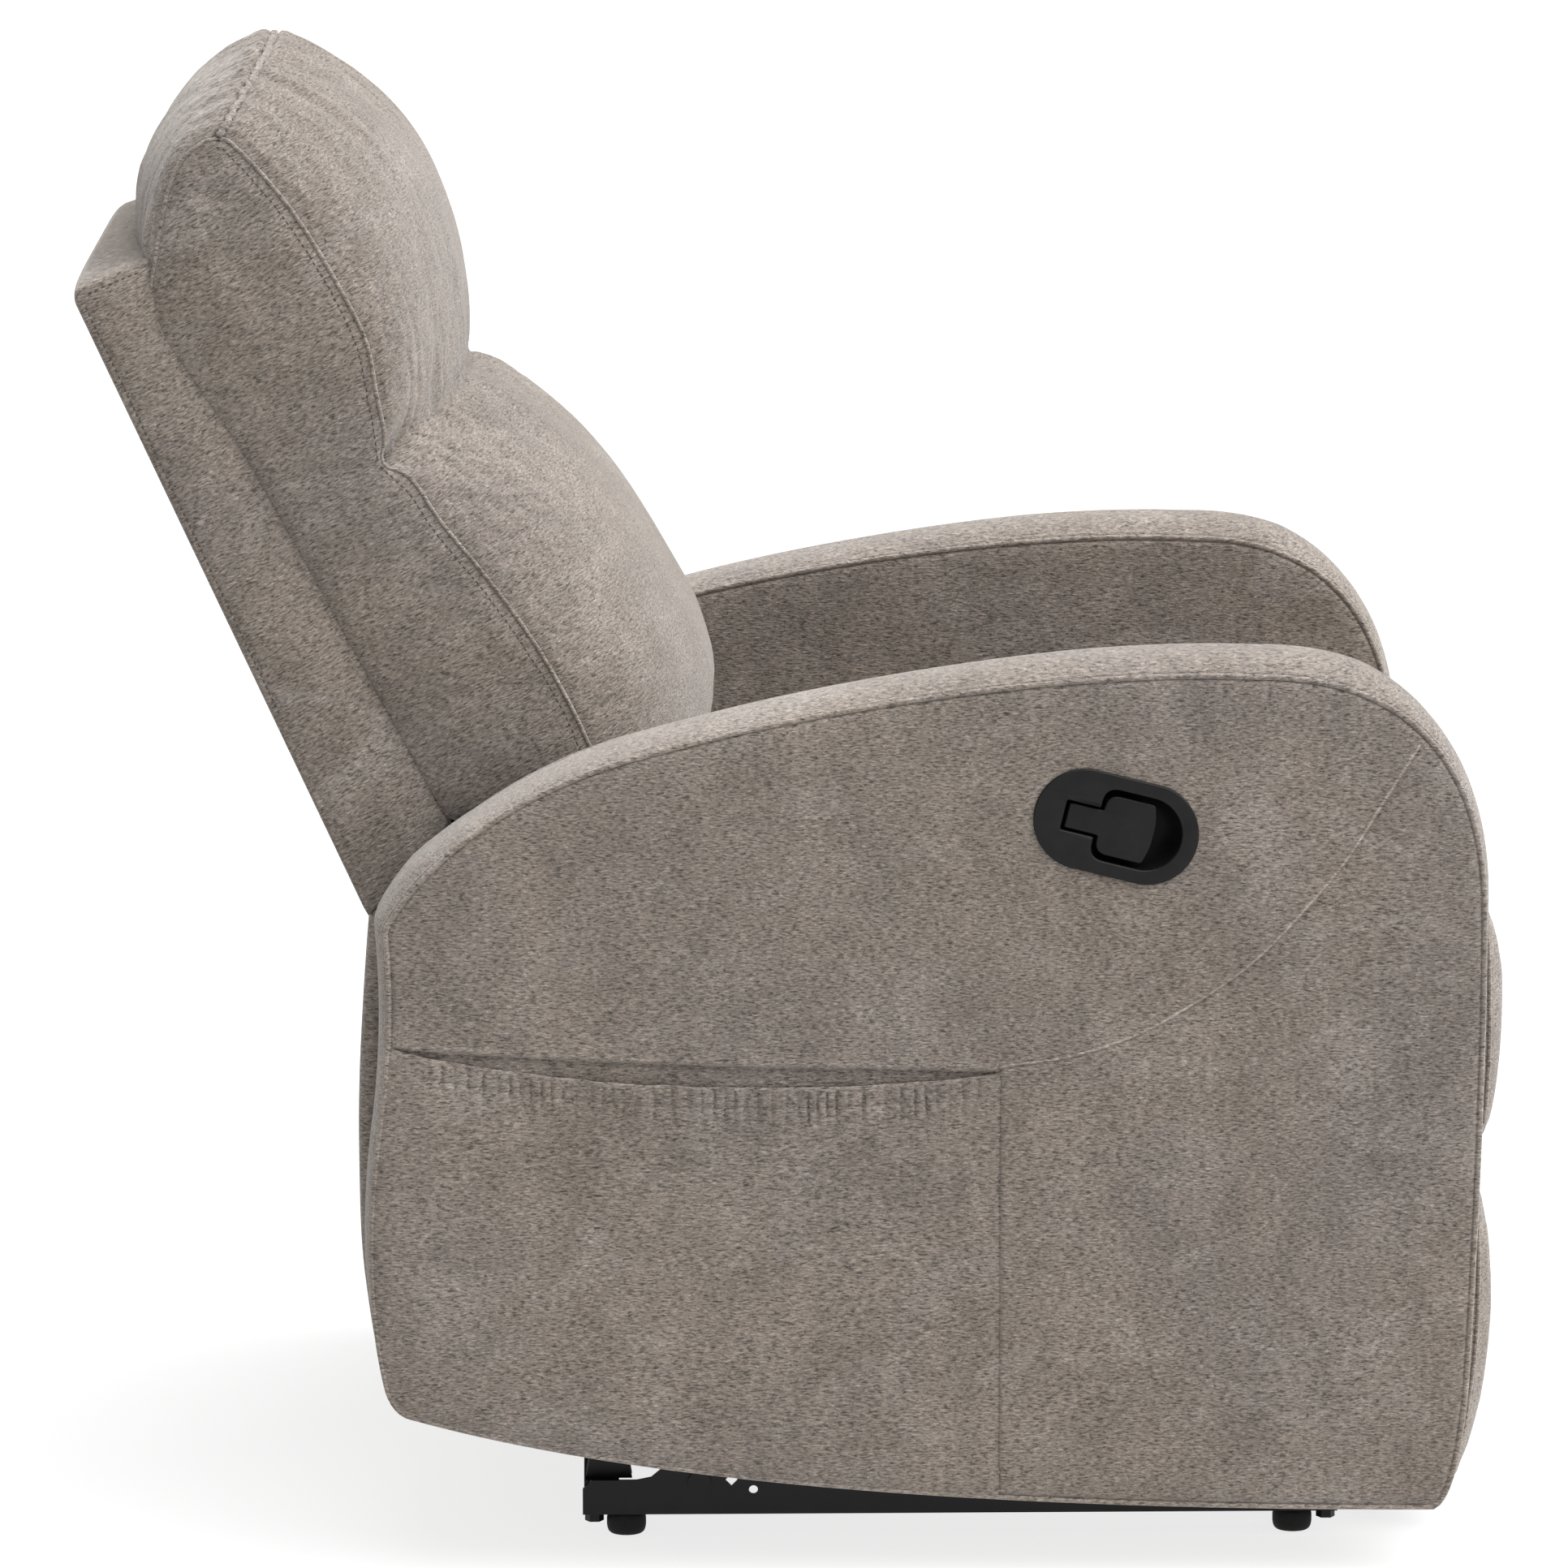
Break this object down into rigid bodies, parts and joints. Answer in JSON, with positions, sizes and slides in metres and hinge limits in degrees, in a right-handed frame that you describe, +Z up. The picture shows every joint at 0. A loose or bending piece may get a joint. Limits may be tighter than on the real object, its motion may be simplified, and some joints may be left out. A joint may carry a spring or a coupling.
{
  "type": "recliner armchair",
  "caption": "Wall-saver recliner armchair with padded arms, tall split back cushion, folding footrest, side pocket and a recessed pull handle.",
  "frame": {"origin": "on the floor, under the middle of the chair's overall box", "axes": "+Z up, -Y is the way the sitter faces, +X is the sitter's left; the release handle is on the -X arm"},
  "size_m": [0.77, 0.9649, 1.005],
  "materials": {
    "upholstery": "brushed velour",
    "black_steel": "satin",
    "spring_steel": "satin",
    "timber": "matte",
    "handle_plastic": "matte",
    "foot_rubber": "matte"
  },
  "bodies": {
    "base": {"base_rail_right": "black_steel", "base_rail_left": "black_steel", "foot_front_right": "foot_rubber", "foot_front_left": "foot_rubber", "foot_rear_right": "foot_rubber", "foot_rear_left": "foot_rubber", "rail_bolt_front_right": "black_steel", "rail_bolt_front_left": "black_steel", "rail_bolt_rear_right": "black_steel", "rail_bolt_rear_left": "black_steel", "front_cross_tube": "black_steel", "rear_cross_tube": "black_steel"},
    "rear_links": {"rear_link_right": "black_steel", "rear_link_left": "black_steel"},
    "front_links": {"front_link_right": "black_steel", "front_link_left": "black_steel"},
    "carriage": {"side_plate_right": "black_steel", "side_plate_left": "black_steel", "arm_pad_right": "upholstery", "arm_pad_left": "upholstery", "pocket_panel": "upholstery", "arm_panel_right": "timber", "arm_panel_left": "timber", "arm_bolt_front_right": "black_steel", "arm_bolt_front_left": "black_steel", "arm_bolt_rear_right": "black_steel", "arm_bolt_rear_left": "black_steel", "handle_bezel": "handle_plastic", "release_cable": "handle_plastic", "seat_rail_front": "timber", "seat_rail_rear": "timber", "seat_spring_1": "spring_steel", "seat_spring_2": "spring_steel", "seat_spring_3": "spring_steel", "seat_cushion": "upholstery", "rear_stretcher": "timber", "back_flap": "upholstery"},
    "back": {"back_bracket_right": "black_steel", "back_bracket_left": "black_steel", "back_post_right": "timber", "back_post_left": "timber", "back_rail_top": "timber", "back_rail_bottom": "timber", "back_shell": "upholstery", "head_cushion": "upholstery", "lumbar_cushion": "upholstery"},
    "footrest_drive": {"footrest_drive_tube": "black_steel"},
    "footrest_links_b": {"footrest_link_b_right": "black_steel", "footrest_link_b_left": "black_steel"},
    "footrest_links_c": {"footrest_link_c_right": "black_steel", "footrest_link_c_left": "black_steel"},
    "footrest_links_d": {"footrest_link_d_right": "black_steel", "footrest_link_d_left": "black_steel"},
    "footrest": {"footrest_bracket_right": "black_steel", "footrest_bracket_left": "black_steel", "footrest_board": "timber", "footrest_pad_upper": "upholstery", "footrest_pad_lower": "upholstery"},
    "handle": {"handle_paddle": "handle_plastic"},
    "latch": {"release_latch": "spring_steel"}
  },
  "joints": [
    {"name": "rear_link_swing", "type": "hinge", "parent": "base", "child": "rear_links", "pos_m": [0, 0.065, 0.039], "axis": [1, 0, 0], "range_deg": [0, 30]},
    {"name": "seat_tilt", "type": "hinge", "parent": "rear_links", "child": "carriage", "pos_m": [0, 0.107, 0.13], "axis": [-1, 0, 0], "range_deg": [0, 38]},
    {"name": "front_link_swing", "type": "hinge", "parent": "base", "child": "front_links", "pos_m": [0, -0.233, 0.039], "axis": [1, 0, 0], "range_deg": [0, 36]},
    {"name": "back_recline", "type": "hinge", "parent": "carriage", "child": "back", "pos_m": [0, 0.145, 0.335], "axis": [-1, 0, 0], "range_deg": [0, 35]},
    {"name": "footrest_open", "type": "hinge", "parent": "carriage", "child": "footrest_drive", "pos_m": [0, -0.33, 0.3], "axis": [-1, 0, 0], "range_deg": [0, 97]},
    {"name": "footrest_link_b_turn", "type": "hinge", "parent": "footrest_drive", "child": "footrest_links_b", "pos_m": [0, -0.26304, 0.11154], "axis": [-1, 0, 0], "range_deg": [-105, 0]},
    {"name": "footrest_turn", "type": "hinge", "parent": "footrest_links_b", "child": "footrest", "pos_m": [0, -0.412, 0.245], "axis": [-1, 0, 0], "range_deg": [0, 93]},
    {"name": "footrest_link_c_turn", "type": "hinge", "parent": "carriage", "child": "footrest_links_c", "pos_m": [0, -0.294, 0.275], "axis": [-1, 0, 0], "range_deg": [0, 96]},
    {"name": "footrest_link_d_turn", "type": "hinge", "parent": "footrest_drive", "child": "footrest_links_d", "pos_m": [0, -0.2771, 0.15112], "axis": [-1, 0, 0], "range_deg": [-105, 0]},
    {"name": "handle_pull", "type": "hinge", "parent": "carriage", "child": "handle", "pos_m": [-0.38, -0.18141, 0.51938], "axis": [0, 0.2419, -0.9703], "range_deg": [0, 38], "stiffness_Nm_per_rad": 0.5},
    {"name": "latch_lift", "type": "hinge", "parent": "carriage", "child": "latch", "pos_m": [-0.2705, -0.205, 0.262], "axis": [-1, 0, 0], "range_deg": [0, 15]}
  ],
  "couplings": [
    {"joint": "rear_link_swing", "follows": "seat_tilt", "ratio": 0.78947},
    {"joint": "front_link_swing", "follows": "seat_tilt", "ratio": 0.945},
    {"joint": "back_recline", "follows": "seat_tilt", "ratio": 0.921},
    {"joint": "footrest_link_b_turn", "follows": "footrest_open", "ratio": -1.0755},
    {"joint": "footrest_turn", "follows": "footrest_open", "ratio": 0.95147},
    {"joint": "footrest_link_c_turn", "follows": "footrest_open", "ratio": 0.98829},
    {"joint": "footrest_link_d_turn", "follows": "footrest_open", "ratio": -1.0788},
    {"joint": "latch_lift", "follows": "handle_pull", "ratio": 0.38}
  ]
}
